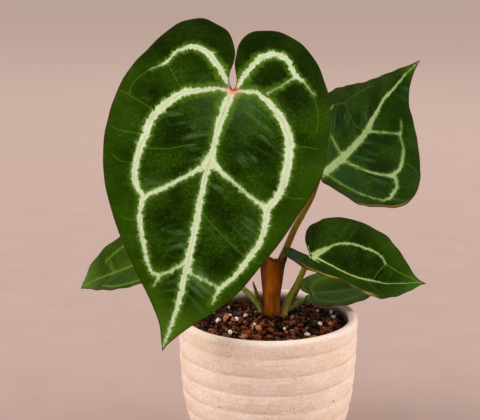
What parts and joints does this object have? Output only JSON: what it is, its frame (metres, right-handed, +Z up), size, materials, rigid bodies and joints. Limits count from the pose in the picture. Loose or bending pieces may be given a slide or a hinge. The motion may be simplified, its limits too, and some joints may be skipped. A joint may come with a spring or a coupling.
{
  "type": "potted plant",
  "caption": "Potted crystal anthurium with heart-shaped velvety leaves on slender stalks, a short rooted crown, bark potting mix and a banded tapering stoneware pot.",
  "frame": {"origin": "centre of the pot's foot, on the surface it stands on", "axes": "+Z up along the pot's axis, -Y towards the side the large leaf faces, +X to the right seen from there"},
  "size_m": [0.2208, 0.1528, 0.2671],
  "materials": {
    "stoneware": "unglazed off-white wash, satin, over pinkish stoneware",
    "bark_mix": "rough dark bark chips with white mineral grains",
    "crown_skin": "matt ringed skin with pale roots",
    "dry_sheath": "dry, fibrous, slightly glossy",
    "stalk": "smooth, satin, green to red-brown",
    "leaf_blade": "velvety dark green with silvery white veins"
  },
  "bodies": {
    "root": {"pot": "stoneware", "crown_and_roots": "crown_skin", "sheath": "dry_sheath", "scale_left": "dry_sheath", "scale_right": "dry_sheath", "soil": "bark_mix", "stalk_front": "stalk", "leaf_front": "leaf_blade", "stalk_rear": "stalk", "leaf_rear": "leaf_blade", "stalk_right": "stalk", "leaf_right": "leaf_blade", "stalk_low": "stalk", "leaf_low": "leaf_blade", "stalk_left": "stalk", "leaf_left": "leaf_blade"}
  },
  "joints": []
}
